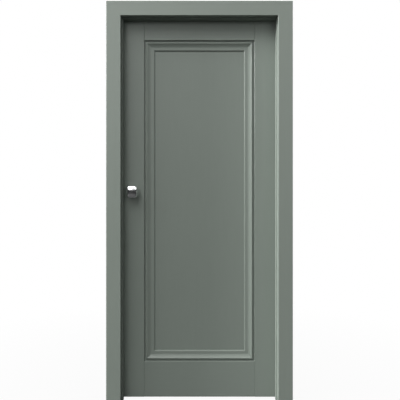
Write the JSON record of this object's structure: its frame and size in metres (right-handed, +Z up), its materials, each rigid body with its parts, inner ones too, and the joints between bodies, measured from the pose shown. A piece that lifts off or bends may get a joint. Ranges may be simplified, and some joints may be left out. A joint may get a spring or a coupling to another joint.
{
  "type": "interior door",
  "caption": "Panelled interior door leaf hung on butt hinges in an adjustable casing frame, with turning knobs and a sprung mortise latch.",
  "frame": {"origin": "On the floor, under the middle of the whole part's width and depth", "axes": "+X to the right seen from the front casing, +Y away from the front casing, the way the leaf opens, +Z up"},
  "size_m": [0.96, 0.185, 2.08],
  "materials": {
    "paint": "satin grey-green paint",
    "seal_rubber": "matt",
    "beech": "bare",
    "steel": "satin",
    "chrome": "polished"
  },
  "bodies": {
    "frame": {"left_jamb": "paint", "right_jamb": "paint", "head_jamb": "paint", "left_rebate_board": "paint", "right_rebate_board": "paint", "head_rebate_board": "paint", "left_front_casing": "paint", "right_front_casing": "paint", "head_front_casing": "paint", "left_rear_casing": "paint", "right_rear_casing": "paint", "head_rear_casing": "paint", "left_seal": "seal_rubber", "right_seal": "seal_rubber", "head_seal": "seal_rubber", "corner_dowels": "beech", "strike_plate": "steel", "strike_screws": "steel", "hinge_frame_plate_lower": "steel", "hinge_frame_plate_middle": "steel", "hinge_frame_plate_upper": "steel", "hinge_pin_lower": "steel", "hinge_pin_middle": "steel", "hinge_pin_upper": "steel", "hinge_frame_screws": "steel"},
    "leaf": {"lock_stile": "paint", "hinge_stile": "paint", "top_rail": "paint", "bottom_rail": "paint", "panel": "paint", "front_moulding_left": "paint", "front_moulding_right": "paint", "front_moulding_top": "paint", "front_moulding_bottom": "paint", "rear_moulding_left": "paint", "rear_moulding_right": "paint", "rear_moulding_top": "paint", "rear_moulding_bottom": "paint", "rail_dowels": "beech", "hinge_leaf_plate_lower": "steel", "hinge_leaf_plate_middle": "steel", "hinge_leaf_plate_upper": "steel", "hinge_leaf_screws": "steel", "lock_case": "steel", "lock_cover": "steel", "lock_faceplate": "steel", "faceplate_screws": "steel", "front_rose_base": "steel", "rear_rose_base": "steel", "rose_screws": "steel", "latch_spring": "steel", "front_rose_cover": "chrome", "rear_rose_cover": "chrome"},
    "knob_set": {"front_knob": "chrome", "rear_knob": "chrome", "spindle": "steel", "follower": "steel", "knob_grub_screws": "steel"},
    "latch": {"latch_bolt": "steel"}
  },
  "joints": [
    {"name": "leaf_swing", "type": "hinge", "parent": "frame", "child": "leaf", "pos_m": [0.4135, 0.038, 0], "axis": [0, 0, -1], "range_deg": [0, 170]},
    {"name": "knob_turn", "type": "hinge", "parent": "leaf", "child": "knob_set", "pos_m": [-0.352, 0.0105, 1.097], "axis": [0, 1, 0], "range_deg": [0, 40], "stiffness_Nm_per_rad": 0.6},
    {"name": "latch_slide", "type": "slide", "parent": "leaf", "child": "latch", "axis": [1, 0, 0], "range_m": [0, 0.012], "deforming": ["latch_spring"]}
  ],
  "couplings": [
    {"joint": "latch_slide", "follows": "knob_turn", "m_per_rad": 0.017145}
  ]
}
